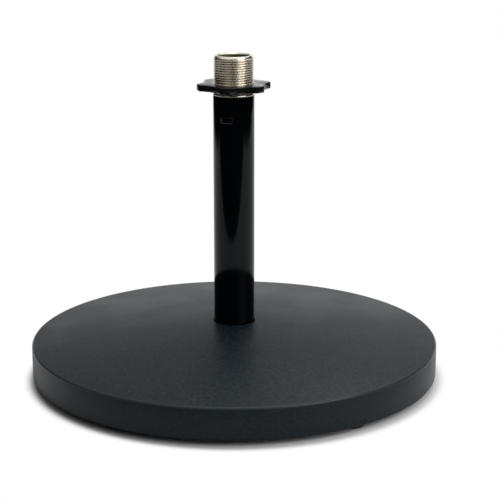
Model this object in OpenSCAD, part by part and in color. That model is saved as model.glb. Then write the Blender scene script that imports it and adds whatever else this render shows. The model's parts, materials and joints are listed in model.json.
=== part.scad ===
// Desktop microphone stand: a weighted round base, a short tube and a 5/8 inch threaded bush
// that carries a six-lobed lock nut.
// Millimetres, +Z up, with the origin on the table under the tube's axis.

/* [Base] */
// Diameter of the base
base_d = 165; // [130:1:220]
// Height of the base's upright rim
rim_h = 13; // [10:0.5:24]
// Rise of the conical top from the rim to the axis
crown_rise = 8.4; // [4:0.1:20]
// Rounding of the rim's upper and lower edges
rim_round = 0.9; // [0.3:0.1:2]
// Thickness of the casting over the hollow underneath
casting_t = 8; // [5:0.5:9]
// Width of the flat land that runs round under the rim
land_w = 18; // [16:0.5:30]
// Diameter of the hub that the bolt pulls against
hub_d = 30; // [26:1:44]
// Thickness of the hub's web between the tube and the washers
web_t = 3.8; // [2.5:0.1:6]

/* [Feet] */
// Number of rubber feet
foot_count = 5; // [3:1:8]
// Diameter of a foot
foot_d = 12; // [8:0.5:15]
// How far the feet hold the base off the table
foot_stand = 2.1; // [1:0.1:4]
// Depth of the pocket that a foot sits in
foot_pocket = 1; // [0.5:0.1:2]
// Bevel round a foot's lower edge
foot_bevel = 0.5; // [0.2:0.1:1]
// Diameter of the stem that plugs a foot into the casting
foot_stem_d = 5; // [3:0.5:7]
// Length of that stem
foot_stem_l = 5; // [3:0.5:6]
// Play round a foot in its pocket
foot_play = 0.2; // [0.1:0.05:0.5]

/* [Tube] */
// Outside diameter of the tube
tube_d = 16.4; // [16:0.1:22]
// Wall of the tube
tube_wall = 1.2; // [0.8:0.1:1.4]
// Length of tube that shows above the base
tube_show = 92.6; // [60:0.1:300]
// Play between the tube and its socket, on each side
socket_play = 0.25; // [0.1:0.05:0.5]
// Chamfer round the mouth of the socket
socket_chamfer = 0.4; // [0.2:0.1:2]
// Length of the plug fixed inside the tube's foot
plug_l = 16; // [10:1:30]
// Chamfer at both ends of the plug
plug_chamfer = 0.5; // [0.2:0.1:1]

/* [Stake mark] */
// Drop from the tube's top to the middle of the mark that stakes the bush
stake_drop = 9.2; // [6:0.1:11]
// Width of the mark round the tube
stake_w = 4.8; // [3.5:0.1:8]
// Height of the mark
stake_h = 2.2; // [2:0.1:3.4]
// Depth of the mark in the tube's wall
stake_depth = 0.4; // [0.2:0.05:0.6]
// Direction that the mark faces, from +X towards +Y
stake_angle = 249; // [0:1:359]
// Play between the pushed-in metal and the bush's groove
stake_play = 0.1; // [0.05:0.05:0.2]

/* [Threaded bush] */
// Outside diameter of the microphone thread
thread_d = 15.8; // [15:0.1:16]
// Threads in one inch
thread_tpi = 27; // [20:1:32]
// Width of the flat on each crest
crest_w = 0.46; // [0.2:0.02:0.6]
// Length of the bush from its shoulder to its mouth
thread_l = 13.6; // [10:0.1:25]
// Depth of the undercut that the nut parks over
undercut_depth = 0.7; // [0.4:0.05:1]
// Height of the bright shoulder on top of the tube
shoulder_h = 2; // [1:0.1:5]
// Chamfer round the shoulder's edges
shoulder_bevel = 0.25; // [0.1:0.05:0.4]
// Bore of the bush
bush_bore = 11.9; // [8:0.1:12.2]
// Width of the chamfer round the outside of the bush's mouth
mouth_chamfer = 0.5; // [0.3:0.05:0.8]
// Height of that chamfer
mouth_drop = 0.95; // [0.5:0.05:1.2]
// Chamfer round the inside of the bush's mouth
bore_chamfer = 0.6; // [0.2:0.05:1]
// Length of the spigot inside the tube
spigot_l = 15; // [14:0.5:30]

/* [Lock nut] */
// Thickness of the nut
nut_t = 2.5; // [2:0.1:5]
// Diameter over the lobes
nut_d = 29.5; // [26:0.5:40]
// Depth of the valleys between the lobes
valley_depth = 2.3; // [1.6:0.1:3.5]
// Number of lobes
lobe_count = 6; // [5:1:8]
// Width of each lobe's squared tip
lobe_tip_w = 3.8; // [2:0.1:6]
// Direction of the first lobe, from +X towards +Y
lobe_angle = 16; // [0:1:89]
// Bevel along the edges of the lobes' tips
nut_bevel = 0.4; // [0.1:0.05:0.8]
// Play between the nut and the thread, on each side
nut_play = 0.08; // [0.03:0.01:0.1]
// Gap under the nut when it is turned right down
nut_seat_gap = 0.1; // [0.05:0.05:0.3]
// Width of the metal lip that shows round the nut's bore
lip_w = 0.6; // [0.4:0.05:0.8]
// Reach of the collar that keys the metal ring into the grip, beyond its lip
collar_reach = 1.2; // [0.5:0.1:1.4]
// Height of that collar
collar_h = 1.1; // [0.6:0.1:1.4]
// Play between the metal ring and the grip
ring_play = 0.05; // [0.02:0.01:0.1]

/* [Clamp bolt] */
// Thread diameter of the bolt
bolt_d = 8; // [6:0.5:10]
// Length of the bolt under its head
bolt_l = 20; // [14:1:40]
// Width of the bolt's head across its flats
bolt_af = 13; // [11:0.5:15]
// Height of the bolt's head
bolt_head_h = 5.3; // [4:0.1:7]
// Chamfer at the bolt's tip
bolt_chamfer = 0.8; // [0.3:0.1:1.2]
// Outside diameter of the flat washer
washer_d = 16; // [14:0.5:20]
// Thickness of the flat washer
washer_t = 1.6; // [1:0.1:2.5]
// Outside diameter of the spring washer
spring_d = 14.8; // [13:0.1:16]
// Thickness of the spring washer
spring_t = 2; // [1.2:0.1:3]
// Width of the split in the spring washer
spring_split = 1.5; // [0.8:0.1:3]
// Play of the bolt in the web and the washers, on each side
bolt_play = 0.2; // [0.1:0.05:0.4]
// Play of the bolt in the plug's thread, on each side
screw_play = 0.03; // [0.01:0.01:0.05]
// Height of the bolt's head above the plane of the base's underside
bolt_recess = 0.4; // [0.2:0.1:3]

/* [Hidden] */
$fn = 96;
// How far a cutting shape runs past the face that it opens
past = 1;
// A fine V thread has flanks at 60 degrees
flank_angle = 60;
inch = 25.4;
// Bevel of a hexagon head's corners
head_bevel_angle = 30;
hex_sides = 6;

base_r = base_d / 2;
base_z = foot_stand;
crown_slope = crown_rise / base_r;
apex_z = base_z + rim_h + crown_rise;
hollow_r = base_r - land_w;
hub_r = hub_d / 2;

bolt_r = bolt_d / 2;
head_z = base_z + bolt_recess;
spring_z = head_z + bolt_head_h;
washer_z = spring_z + spring_t;
hub_z = washer_z + washer_t;
socket_z = hub_z + web_t;

tube_r = tube_d / 2;
tube_bore_r = tube_r - tube_wall;
socket_r = tube_r + socket_play;
mouth_r = socket_r + socket_chamfer;
tube_top = top_z(tube_r) + tube_show;
stake_z = tube_top - stake_drop;

foot_r = foot_d / 2;
foot_stem_r = foot_stem_d / 2;
foot_ring_r = base_r - land_w / 2;
foot_top = foot_stand + foot_pocket;

thread_r = thread_d / 2;
pitch = inch / thread_tpi;
groove_w = pitch - crest_w;
groove_root_r = thread_r - groove_w / 2 / tan(flank_angle / 2);
shoulder_z = tube_top + shoulder_h;
first_crest_z = shoulder_z + nut_t;
mouth_z = shoulder_z + thread_l;
groove_count = floor((mouth_z - mouth_drop - first_crest_z) / pitch);

nut_z = shoulder_z + nut_seat_gap;
nut_r = nut_d / 2;
nut_valley_r = nut_r - valley_depth;
nut_bore_r = thread_r + nut_play;
lip_r = nut_bore_r + lip_w;
collar_r = lip_r + collar_reach;
collar_z = nut_z + (nut_t - collar_h) / 2;
// Where the side of a lobe meets its tip, seen from the middle of the next valley
tip_half_angle = asin(lobe_tip_w / 2 / nut_r);
corner_angle = 180 / lobe_count - tip_half_angle;
corner_x = nut_r * cos(corner_angle);
corner_y = nut_r * sin(corner_angle);
// The circle through both corners and the bottom of the valley
valley_x = (corner_x * corner_x + corner_y * corner_y - nut_valley_r * nut_valley_r)
    / (2 * (corner_x - nut_valley_r));
valley_r = valley_x - nut_valley_r;

function foot_name(k) = str("rubber_foot_", k);

// Height of the base's conical top at radius r
function top_z(r) = apex_z - crown_slope * r;

// Direction of rubber foot k, with the first one at the back
function foot_angle(k) = 90 + (k - 1) * 360 / foot_count;

// Half section of the base with its rounded rim, before anything is cut from it
module rim_section() {
    slope_len = sqrt(1 + crown_slope * crown_slope);
    round_x = base_r - rim_round;
    upper_z = top_z(round_x) - rim_round * slope_len;
    lower_z = base_z + rim_round;
    polygon([
        [0, base_z],
        [round_x, base_z],
        [base_r, lower_z],
        [base_r, upper_z],
        [round_x + rim_round * crown_slope / slope_len, upper_z + rim_round / slope_len],
        [0, apex_z]
    ]);
    for (z = [lower_z, upper_z])
        translate([round_x, z])
            circle(r = rim_round);
}

// Half section of the hollow under the base, round the hub
module hollow_section() {
    polygon([
        [0, base_z - past],
        [hollow_r, base_z - past],
        [hollow_r, top_z(hollow_r) - casting_t],
        [hub_r, top_z(hub_r) - casting_t],
        [hub_r, hub_z],
        [0, hub_z]
    ]);
}

// Half section of the tube's socket with its chamfered mouth
module socket_section() {
    reach = apex_z - top_z(mouth_r) + past;
    polygon([
        [0, socket_z],
        [socket_r, socket_z],
        [socket_r, top_z(mouth_r) - socket_chamfer],
        [mouth_r + reach, top_z(mouth_r) + reach],
        [0, top_z(mouth_r) + reach]
    ]);
}

module base_casting() {
    color("#303335")
    difference() {
        rotate_extrude()
            difference() {
                rim_section();
                hollow_section();
                socket_section();
            }
        translate([0, 0, hub_z - past])
            cylinder(r = bolt_r + bolt_play, h = web_t + 2 * past);
        for (k = [1:foot_count])
            rotate(foot_angle(k))
                translate([foot_ring_r, 0, base_z - past]) {
                    cylinder(r = foot_r + foot_play, h = foot_pocket + past);
                    cylinder(r = foot_stem_r, h = foot_pocket + foot_stem_l + past);
                }
    }
}

// Rubber foot k: a bevelled disc in its pocket, with a stem plugged into the casting
module rubber_foot(k) {
    color("#1a1a1a")
    rotate(foot_angle(k))
        translate([foot_ring_r, 0, 0])
            rotate_extrude()
                polygon([
                    [0, 0],
                    [foot_r - foot_bevel, 0],
                    [foot_r, foot_bevel],
                    [foot_r, foot_top],
                    [foot_stem_r, foot_top],
                    [foot_stem_r, foot_top + foot_stem_l - foot_bevel],
                    [foot_stem_r - foot_bevel, foot_top + foot_stem_l],
                    [0, foot_top + foot_stem_l]
                ]);
}

// A slot with round ends, w round the tube and h high, that runs out from the axis
module stake_slot(w, h) {
    rotate(stake_angle)
        translate([0, 0, stake_z])
            rotate([90, 0, 90])
                linear_extrude(tube_d) {
                    square([w - h, h], center = true);
                    for (side = [-1, 1])
                        translate([side * (w - h) / 2, 0])
                            circle(d = h);
                }
}

module stand_tube() {
    color("#0d0e0f")
    difference() {
        union() {
            translate([0, 0, socket_z])
                difference() {
                    cylinder(r = tube_r, h = tube_top - socket_z);
                    translate([0, 0, -past])
                        cylinder(r = tube_bore_r, h = tube_top - socket_z + 2 * past);
                }
            // The metal that the mark pushes in, which holds the bush
            intersection() {
                stake_slot(stake_w, stake_h);
                translate([0, 0, socket_z])
                    difference() {
                        cylinder(r = tube_r - tube_wall / 2, h = tube_top - socket_z);
                        translate([0, 0, -past])
                            cylinder(r = tube_bore_r - stake_depth, h = tube_top);
                    }
            }
        }
        difference() {
            stake_slot(stake_w, stake_h);
            translate([0, 0, socket_z])
                cylinder(r = tube_r - stake_depth, h = tube_top - socket_z);
        }
    }
}

// The plug fixed in the tube's foot, with a through thread for the bolt
module tube_plug() {
    bore_r = bolt_r + screw_play;
    end_r = tube_bore_r - plug_chamfer;
    color("#a8a59c")
    translate([0, 0, socket_z])
        rotate_extrude()
            polygon([
                [bore_r + plug_chamfer, 0],
                [end_r, 0],
                [tube_bore_r, plug_chamfer],
                [tube_bore_r, plug_l - plug_chamfer],
                [end_r, plug_l],
                [bore_r + plug_chamfer, plug_l],
                [bore_r, plug_l - plug_chamfer],
                [bore_r, plug_chamfer]
            ]);
}

// The hollow bush: spigot, staking groove, shoulder, undercut, thread and mouth, from below
module thread_bush() {
    bore_r = bush_bore / 2;
    stake_half = stake_h / 2 + stake_play;
    groove_r = tube_bore_r - stake_depth - stake_play;
    undercut_r = thread_r - undercut_depth;
    color("#c9c3b4")
    rotate_extrude()
        polygon([
            [bore_r, tube_top - spigot_l],
            [tube_bore_r, tube_top - spigot_l],
            [tube_bore_r, stake_z - stake_half],
            [groove_r, stake_z - stake_half],
            [groove_r, stake_z + stake_half],
            [tube_bore_r, stake_z + stake_half],
            [tube_bore_r, tube_top],
            [tube_r - shoulder_bevel, tube_top],
            [tube_r, tube_top + shoulder_bevel],
            [tube_r, shoulder_z - shoulder_bevel],
            [tube_r - shoulder_bevel, shoulder_z],
            [undercut_r, shoulder_z],
            [undercut_r, first_crest_z - undercut_depth],
            for (i = [0:groove_count - 1])
                let (z = first_crest_z + i * pitch)
                    each [
                        [thread_r, z],
                        [thread_r, z + crest_w],
                        [groove_root_r, z + crest_w + groove_w / 2]
                    ],
            [thread_r, first_crest_z + groove_count * pitch],
            [thread_r, mouth_z - mouth_drop],
            [thread_r - mouth_chamfer, mouth_z],
            [bore_r + bore_chamfer, mouth_z],
            [bore_r, mouth_z - bore_chamfer]
        ]);
}

// The nut's threaded metal ring, with the collar that keys it into the grip
module lock_nut_ring() {
    color("#c9c3b4")
    rotate_extrude()
        polygon([
            [nut_bore_r, nut_z],
            [lip_r, nut_z],
            [lip_r, collar_z],
            [collar_r, collar_z],
            [collar_r, collar_z + collar_h],
            [lip_r, collar_z + collar_h],
            [lip_r, nut_z + nut_t],
            [nut_bore_r, nut_z + nut_t]
        ]);
}

// Half section of the disc that the star is cut from, with bevelled edges
module disc_section() {
    polygon([
        [0, 0],
        [nut_r - nut_bevel, 0],
        [nut_r, nut_bevel],
        [nut_r, nut_t - nut_bevel],
        [nut_r - nut_bevel, nut_t],
        [0, nut_t]
    ]);
}

// The valley between two lobes
module valley_cutter() {
    translate([valley_x, 0, -past])
        cylinder(r = valley_r, h = nut_t + 2 * past);
}

module lock_nut_grip() {
    color("#141516")
    translate([0, 0, nut_z])
        rotate(lobe_angle)
            difference() {
                rotate_extrude()
                    disc_section();
                for (i = [0:lobe_count - 1])
                    rotate((i + 0.5) * 360 / lobe_count)
                        valley_cutter();
                translate([0, 0, -past])
                    cylinder(r = lip_r + ring_play, h = nut_t + 2 * past);
                translate([0, 0, collar_z - nut_z - ring_play])
                    cylinder(r = collar_r + ring_play, h = collar_h + 2 * ring_play);
            }
}

// Hexagon bolt put in from below, with its head under the washers
module clamp_bolt() {
    head_r = bolt_af / 2 / cos(180 / hex_sides);
    flare = bolt_head_h / tan(head_bevel_angle);
    color("#b9bcc0")
    union() {
        intersection() {
            translate([0, 0, head_z])
                cylinder(r = head_r, h = bolt_head_h, $fn = hex_sides);
            translate([0, 0, head_z])
                cylinder(r1 = bolt_af / 2, r2 = bolt_af / 2 + flare, h = bolt_head_h);
        }
        rotate_extrude()
            polygon([
                [0, spring_z - past],
                [bolt_r, spring_z - past],
                [bolt_r, spring_z + bolt_l - bolt_chamfer],
                [bolt_r - bolt_chamfer, spring_z + bolt_l],
                [0, spring_z + bolt_l]
            ]);
    }
}

// Flat ring of outside diameter d and thickness t round the bolt, resting at height z
module bolt_ring(d, t, z) {
    translate([0, 0, z])
        difference() {
            cylinder(d = d, h = t);
            translate([0, 0, -past])
                cylinder(r = bolt_r + bolt_play, h = t + 2 * past);
        }
}

module spring_washer() {
    color("#8e9196")
    difference() {
        bolt_ring(spring_d, spring_t, spring_z);
        translate([0, -spring_split / 2, spring_z - past])
            cube([spring_d, spring_split, spring_t + 2 * past]);
    }
}

module flat_washer() {
    color("#b9bcc0")
    bolt_ring(washer_d, washer_t, washer_z);
}

base_casting();
stand_tube();
tube_plug();
thread_bush();
lock_nut_ring();
lock_nut_grip();
clamp_bolt();
spring_washer();
flat_washer();
for (k = [1:foot_count])
    rubber_foot(k);
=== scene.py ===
# %% [markdown]
# A desktop microphone stand: a heavy round base, a short tube, and on top a plated bush with the
# thread that a microphone clip screws onto. A star-shaped lock nut runs on that thread.
# The lesson dresses the finished CAD model. Each step models one piece the way a person would at
# the keyboard, with Blender's own operators, and then gives it a finish made of shader nodes.
# Every piece stays where the CAD model says, so nothing has to be fitted afterwards.

# %% Load the frame
import json
import math

import bpy
from mathutils import Euler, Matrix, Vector


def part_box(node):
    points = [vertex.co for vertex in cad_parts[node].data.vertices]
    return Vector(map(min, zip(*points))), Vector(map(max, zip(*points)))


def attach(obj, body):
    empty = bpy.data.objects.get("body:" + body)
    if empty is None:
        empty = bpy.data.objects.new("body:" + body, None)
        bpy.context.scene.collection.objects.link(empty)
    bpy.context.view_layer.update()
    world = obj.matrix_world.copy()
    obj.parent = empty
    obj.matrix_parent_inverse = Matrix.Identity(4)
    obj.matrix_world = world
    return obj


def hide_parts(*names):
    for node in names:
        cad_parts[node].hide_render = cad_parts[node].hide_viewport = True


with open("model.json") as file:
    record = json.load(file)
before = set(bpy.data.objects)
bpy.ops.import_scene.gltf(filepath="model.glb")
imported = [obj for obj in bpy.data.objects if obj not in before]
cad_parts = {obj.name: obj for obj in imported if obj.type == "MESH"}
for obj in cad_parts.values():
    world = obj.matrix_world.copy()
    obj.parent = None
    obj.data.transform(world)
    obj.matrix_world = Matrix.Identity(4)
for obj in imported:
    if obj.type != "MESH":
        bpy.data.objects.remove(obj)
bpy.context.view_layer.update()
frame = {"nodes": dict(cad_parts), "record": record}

print("CAD nodes:", ", ".join(sorted(frame["nodes"])))

# %% [markdown]
# Blender works in metres and a small object like this one is easier to think of in millimetres, so
# MM turns one into the other.

# %% Read the main sizes from the frame
MM = 0.001

base_low, base_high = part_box("base_casting")
tube_low, tube_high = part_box("stand_tube")
bush_low, bush_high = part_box("thread_bush")
washer_low, washer_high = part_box("flat_washer")

base_radius = base_high.x
tube_radius = tube_high.x
thread_mount = next(m for m in frame["record"]["mounts"] if m["name"] == "mic_thread")
thread_radius = thread_mount["dims"]["r_mm"] * MM

for label, size in (("base", base_radius), ("tube", tube_radius), ("thread", thread_radius)):
    print(f"{label} diameter: {2 * size / MM:.1f} mm")

# %% [markdown]
# Operators act on whatever is selected, and loading the frame leaves the CAD nodes selected. So each
# new piece starts by deselecting everything. Inside a mesh, points are picked by their place: the
# test is a small function that looks at a point and answers yes or no. Points that are closer than
# WELD count as one.

# %% Pick points by their place
WELD = 1e-6


def deselect_all():
    """Leave no object selected."""
    bpy.ops.object.select_all(action="DESELECT")


def take_up(piece):
    """Select one piece alone and make it the active one."""
    deselect_all()
    piece.select_set(True)
    bpy.context.view_layer.objects.active = piece


def pick_points(piece, test):
    """Select the points of a piece that pass the test, and stay in edit mode."""
    bpy.ops.object.mode_set(mode="OBJECT")
    mesh = piece.data
    mesh.polygons.foreach_set("select", [False] * len(mesh.polygons))
    mesh.edges.foreach_set("select", [False] * len(mesh.edges))
    mesh.vertices.foreach_set("select", [bool(test(point.co)) for point in mesh.vertices])
    bpy.ops.object.mode_set(mode="EDIT")
    bpy.ops.mesh.select_mode(type="VERT")


def faces_of(piece):
    """A piece's name and how many faces it has, to print."""
    return f"{piece.name}: {len(piece.data.polygons)} faces"


# %% [markdown]
# Most of this stand is round, because it is cast, drawn or turned on a lathe. A lathe piece is half a
# section swept round an axis. The section could be a curve with a Screw modifier, but drawing it
# point by point with Extrude, rounding its corners with a vertex Bevel and then using Spin keeps
# every step visible, and it is just how the piece is drawn on paper.
# A corner is written as radius, height and, where the edge is broken, how far the rounding reaches.

# %% Draw a section and spin it
ROUND_STEPS = 4
LATHE_STEPS = 128
SHARP_DEGREES = 32


def draw_section(name, corners):
    """Draw the corners of a section in the XZ plane as a loop of edges, and round them."""
    points = [Vector((corner[0], 0, corner[1])) for corner in corners]
    deselect_all()
    bpy.ops.mesh.primitive_plane_add(size=MM)
    piece = bpy.context.object
    piece.name = piece.data.name = name
    bpy.ops.object.mode_set(mode="EDIT")
    bpy.ops.mesh.merge(type="CENTER")
    bpy.ops.transform.translate(value=points[0])
    for here, there in zip(points, points[1:]):
        bpy.ops.mesh.extrude_region_move(TRANSFORM_OT_translate={"value": there - here})
    ends = (points[0], points[-1])
    if max(end.x for end in ends) > WELD:
        pick_points(piece, lambda co: min((co - end).length for end in ends) < WELD)
        bpy.ops.mesh.edge_face_add()
    for point, corner in zip(points, corners):
        if len(corner) == 3:
            pick_points(piece, lambda co: (co - point).length < WELD)
            bpy.ops.mesh.bevel(offset=corner[2], segments=ROUND_STEPS, affect="VERTICES")
    return piece


def close_mesh(piece):
    """Weld doubled points, turn the faces outwards and go back to object mode."""
    bpy.ops.mesh.select_all(action="SELECT")
    bpy.ops.mesh.remove_doubles(threshold=WELD)
    bpy.ops.mesh.normals_make_consistent(inside=False)
    bpy.ops.object.mode_set(mode="OBJECT")
    return piece


def turn_on_lathe(name, corners, steps=LATHE_STEPS):
    """Spin a section round the stand's axis."""
    piece = draw_section(name, corners)
    bpy.ops.mesh.select_all(action="SELECT")
    bpy.ops.mesh.spin(steps=steps, angle=math.tau, center=(0, 0, 0), axis=(0, 0, 1))
    return close_mesh(piece)


def smooth(piece, degrees=SHARP_DEGREES):
    """Shade the round faces smooth and keep the edges that are sharper than the angle."""
    take_up(piece)
    bpy.ops.object.shade_smooth_by_angle(angle=math.radians(degrees))
    return piece


# %% [markdown]
# Drilled pockets, threads and the valleys of the star are cuts. A Boolean modifier cuts one mesh with
# another, exactly as a drill or a milling cutter does, and applying it leaves a plain mesh.
# The cutters are mostly plain bars and blocks, and they are used up by the cut.

# %% Cut one piece with another
CUT_PAST = 1 * MM
ROD_SIDES = 64


def cut(piece, cutter, operation="DIFFERENCE"):
    """Cut a piece with another mesh, or intersect or join the two, and use the other one up."""
    take_up(piece)
    modifier = piece.modifiers.new(cutter.name, "BOOLEAN")
    modifier.operation = operation
    modifier.solver = "EXACT"
    modifier.object = cutter
    bpy.ops.object.modifier_apply(modifier=modifier.name)
    bpy.data.objects.remove(cutter)
    return piece


def rod(name, radius, low, high, place=(0, 0), sides=ROD_SIDES, turn=0.0):
    """A plain bar between two heights, round or with a few sides, to start from or to cut with."""
    deselect_all()
    bpy.ops.mesh.primitive_cylinder_add(
        vertices=sides, radius=radius, depth=high - low,
        location=(place[0], place[1], (low + high) / 2), rotation=(0, 0, turn),
    )
    bar = bpy.context.object
    bar.name = bar.data.name = name
    bpy.ops.object.transform_apply(location=True, rotation=True, scale=True)
    return bar


# %% [markdown]
# A piece that stands for a CAD node has to fill the same space. This helper compares the two boxes,
# so that a slip in a size shows at once as a number instead of as a gap in the picture.

# %% Compare a piece with its CAD node
def report_fit(piece, node):
    """Print how far the piece's box is from the box of the node that it stands for."""
    low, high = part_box(node)
    slip = 0.0
    for axis in range(3):
        places = [point.co[axis] for point in piece.data.vertices]
        slip = max(slip, abs(min(places) - low[axis]), abs(max(places) - high[axis]))
    print(f"{faces_of(piece)}, box within {slip / MM:.2f} mm of {node}")


# %% [markdown]
# The base is an iron casting: a thick lid with a shallow conical top, an upright rim, a flat land that
# the feet sit in, and a hollow with a hub underneath. It is one section, spun. The rounded rim is
# what catches the light in the photograph, and the large fillets inside the hollow are there because
# sand moulds cannot hold sharp corners.

# %% Cast the base
RIM_HEIGHT = 13 * MM
CROWN_RISE = 8.4 * MM
CASTING_WALL = 8 * MM
LAND_WIDTH = 18 * MM
HUB_RADIUS = 15 * MM
BOLT_HOLE_RADIUS = 4.2 * MM
SOCKET_PLAY = 0.25 * MM
SOCKET_CHAMFER = 0.4 * MM
RIM_ROUNDING = 0.85 * MM
CAST_EDGE = 0.8 * MM
HUB_FILLET = 1.5 * MM
HOLLOW_FILLET = 3 * MM
HOLE_EDGE = 0.3 * MM
SOCKET_EDGE = 0.2 * MM
BASE_STEPS = 288

land_z = base_low.z
rim_z = land_z + RIM_HEIGHT
hub_z = washer_high.z
socket_z = tube_low.z
hollow_radius = base_radius - LAND_WIDTH
socket_radius = tube_radius + SOCKET_PLAY
mouth_radius = socket_radius + SOCKET_CHAMFER


def crown_z(radius):
    """Height of the conical top at a distance from the axis."""
    return rim_z + CROWN_RISE * (1 - radius / base_radius)


base = turn_on_lathe("base", [
    (BOLT_HOLE_RADIUS, hub_z, HOLE_EDGE),
    (HUB_RADIUS, hub_z, CAST_EDGE),
    (HUB_RADIUS, crown_z(HUB_RADIUS) - CASTING_WALL, HUB_FILLET),
    (hollow_radius, crown_z(hollow_radius) - CASTING_WALL, HOLLOW_FILLET),
    (hollow_radius, land_z, CAST_EDGE),
    (base_radius, land_z, RIM_ROUNDING),
    (base_radius, rim_z, RIM_ROUNDING),
    (mouth_radius, crown_z(mouth_radius), SOCKET_EDGE),
    (socket_radius, crown_z(mouth_radius) - SOCKET_CHAMFER),
    (socket_radius, socket_z),
    (BOLT_HOLE_RADIUS, socket_z),
], steps=BASE_STEPS)
report_fit(base, "base_casting")

# %% [markdown]
# Five pockets in the land keep the rubber feet from sliding off. Each is a shallow round recess with a
# deeper hole for the foot's stem, drilled right over the foot that the frame holds.

# %% Drill the foot pockets
FOOT_COUNT = 5
FOOT_PLAY = 0.2 * MM
STEM_RADIUS = 2.5 * MM
POCKET_DEPTH = 1 * MM

foot_names = [f"rubber_foot_{k + 1}" for k in range(FOOT_COUNT)]
foot_boxes = [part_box(name) for name in foot_names]
foot_places = [(low + high) / 2 for low, high in foot_boxes]
foot_radius = (foot_boxes[0][1].x - foot_boxes[0][0].x) / 2
foot_top = foot_boxes[0][1].z
pocket_z = land_z + POCKET_DEPTH

for place in foot_places:
    spot = (place.x, place.y)
    cut(base, rod("pocket", foot_radius + FOOT_PLAY, land_z - CUT_PAST, pocket_z, spot))
    cut(base, rod("stem_hole", STEM_RADIUS, pocket_z - CUT_PAST, foot_top, spot))
smooth(base)
print(faces_of(base), f"with {FOOT_COUNT} pockets")

# %% [markdown]
# The tube is drawn steel, painted gloss black, with its ends broken by a small radius. A plain
# cylinder would do from far away, but the wall and the rounded end show next to the bright bush.

# %% Draw the tube
TUBE_WALL = 1.2 * MM
TUBE_EDGE = 0.3 * MM
TUBE_INNER_EDGE = 0.2 * MM
TUBE_STEPS = 192

bore_radius = tube_radius - TUBE_WALL
tube = turn_on_lathe("tube", [
    (bore_radius, tube_low.z, TUBE_INNER_EDGE),
    (tube_radius, tube_low.z, TUBE_EDGE),
    (tube_radius, tube_high.z, TUBE_EDGE),
    (bore_radius, tube_high.z),
], steps=TUBE_STEPS)
report_fit(tube, "stand_tube")

# %% [markdown]
# Near the tube's top a punch has pushed a small oblong into the wall, which stakes the bush inside.
# A bump texture would vanish in the exported mesh, so the mark is real: Bisect lays fine rows of
# edges across the wall, the points inside the oblong are picked, and Shrink/Fatten pushes them in
# along their own normals.

# %% Press the stake mark into the tube
STAKE_DROP = 9.2 * MM
STAKE_WIDTH = 4.8 * MM
STAKE_HEIGHT = 2.2 * MM
STAKE_DEPTH = 0.4 * MM
STAKE_ANGLE = math.radians(249)
STAKE_ROWS = 8
STAKE_ROW_GAP = 0.25 * MM

stake_z = tube_high.z - STAKE_DROP
bpy.ops.object.mode_set(mode="EDIT")
for row in range(-STAKE_ROWS, STAKE_ROWS + 1):
    bpy.ops.mesh.select_all(action="SELECT")
    bpy.ops.mesh.bisect(plane_co=(0, 0, stake_z + row * STAKE_ROW_GAP), plane_no=(0, 0, 1))


def in_stake_mark(co):
    """True on the outer wall, inside the oblong that the punch has pressed."""
    if math.hypot(co.x, co.y) < tube_radius - WELD:
        return False
    turn = math.remainder(math.atan2(co.y, co.x) - STAKE_ANGLE, math.tau)
    in_width = abs(turn) * tube_radius < STAKE_WIDTH / 2
    return in_width and abs(co.z - stake_z) < STAKE_HEIGHT / 2


pick_points(tube, in_stake_mark)
bpy.ops.transform.shrink_fatten(value=-STAKE_DEPTH)
bpy.ops.object.mode_set(mode="OBJECT")
smooth(tube, degrees=40)
print(faces_of(tube), f"with a stake mark at {stake_z / MM:.1f} mm")

# %% [markdown]
# A screw thread is a groove that climbs as it goes round. The Screw modifier sweeps a small section
# along that helix, and the sweep is then used as a cutter, like the die that cuts the real thread.
# The groove has flanks 60 degrees apart, a round root, and rounded crests, which are what shine.

# %% Sweep a thread cutter
FLANK = math.tan(math.radians(30))
TURN_STEPS = 144
TURN_GAP = 0.01 * MM
CREST_LIFT = 0.03 * MM
CREST_ROUND = 0.9
ROOT_ROUND = 0.35


def thread_cutter(name, crest_radius, opening, pitch, low, high):
    """A helical V groove between two heights, to cut into a bar from outside."""
    half = opening / 2
    reach = pitch / 2 - TURN_GAP
    rounding = CREST_ROUND * (reach - half)
    cutter = draw_section(name, [
        (crest_radius + CREST_LIFT, low - reach),
        (crest_radius, low - half, rounding),
        (crest_radius - half / FLANK, low, ROOT_ROUND * opening),
        (crest_radius, low + half, rounding),
        (crest_radius + CREST_LIFT, low + reach),
    ])
    bpy.ops.object.mode_set(mode="OBJECT")
    sweep = cutter.modifiers.new("helix", "SCREW")
    sweep.axis = "Z"
    sweep.screw_offset = pitch
    sweep.iterations = math.ceil((high - low) / pitch)
    sweep.steps = sweep.render_steps = TURN_STEPS
    bpy.ops.object.modifier_apply(modifier=sweep.name)
    bpy.ops.object.mode_set(mode="EDIT")
    bpy.ops.mesh.select_all(action="SELECT")
    bpy.ops.mesh.fill_holes(sides=0)
    return close_mesh(cutter)


# %% [markdown]
# The bush is turned from bar: a spigot that fits inside the tube, a shoulder on the tube's end with a
# thin bright band and a slope above it, a neck for the nut to park over, and the microphone thread
# with a chamfered mouth. The blank is spun first and the thread is cut into it afterwards, in the
# order of the real work. Both are swept in the same number of steps, so that their faces line up.

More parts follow.
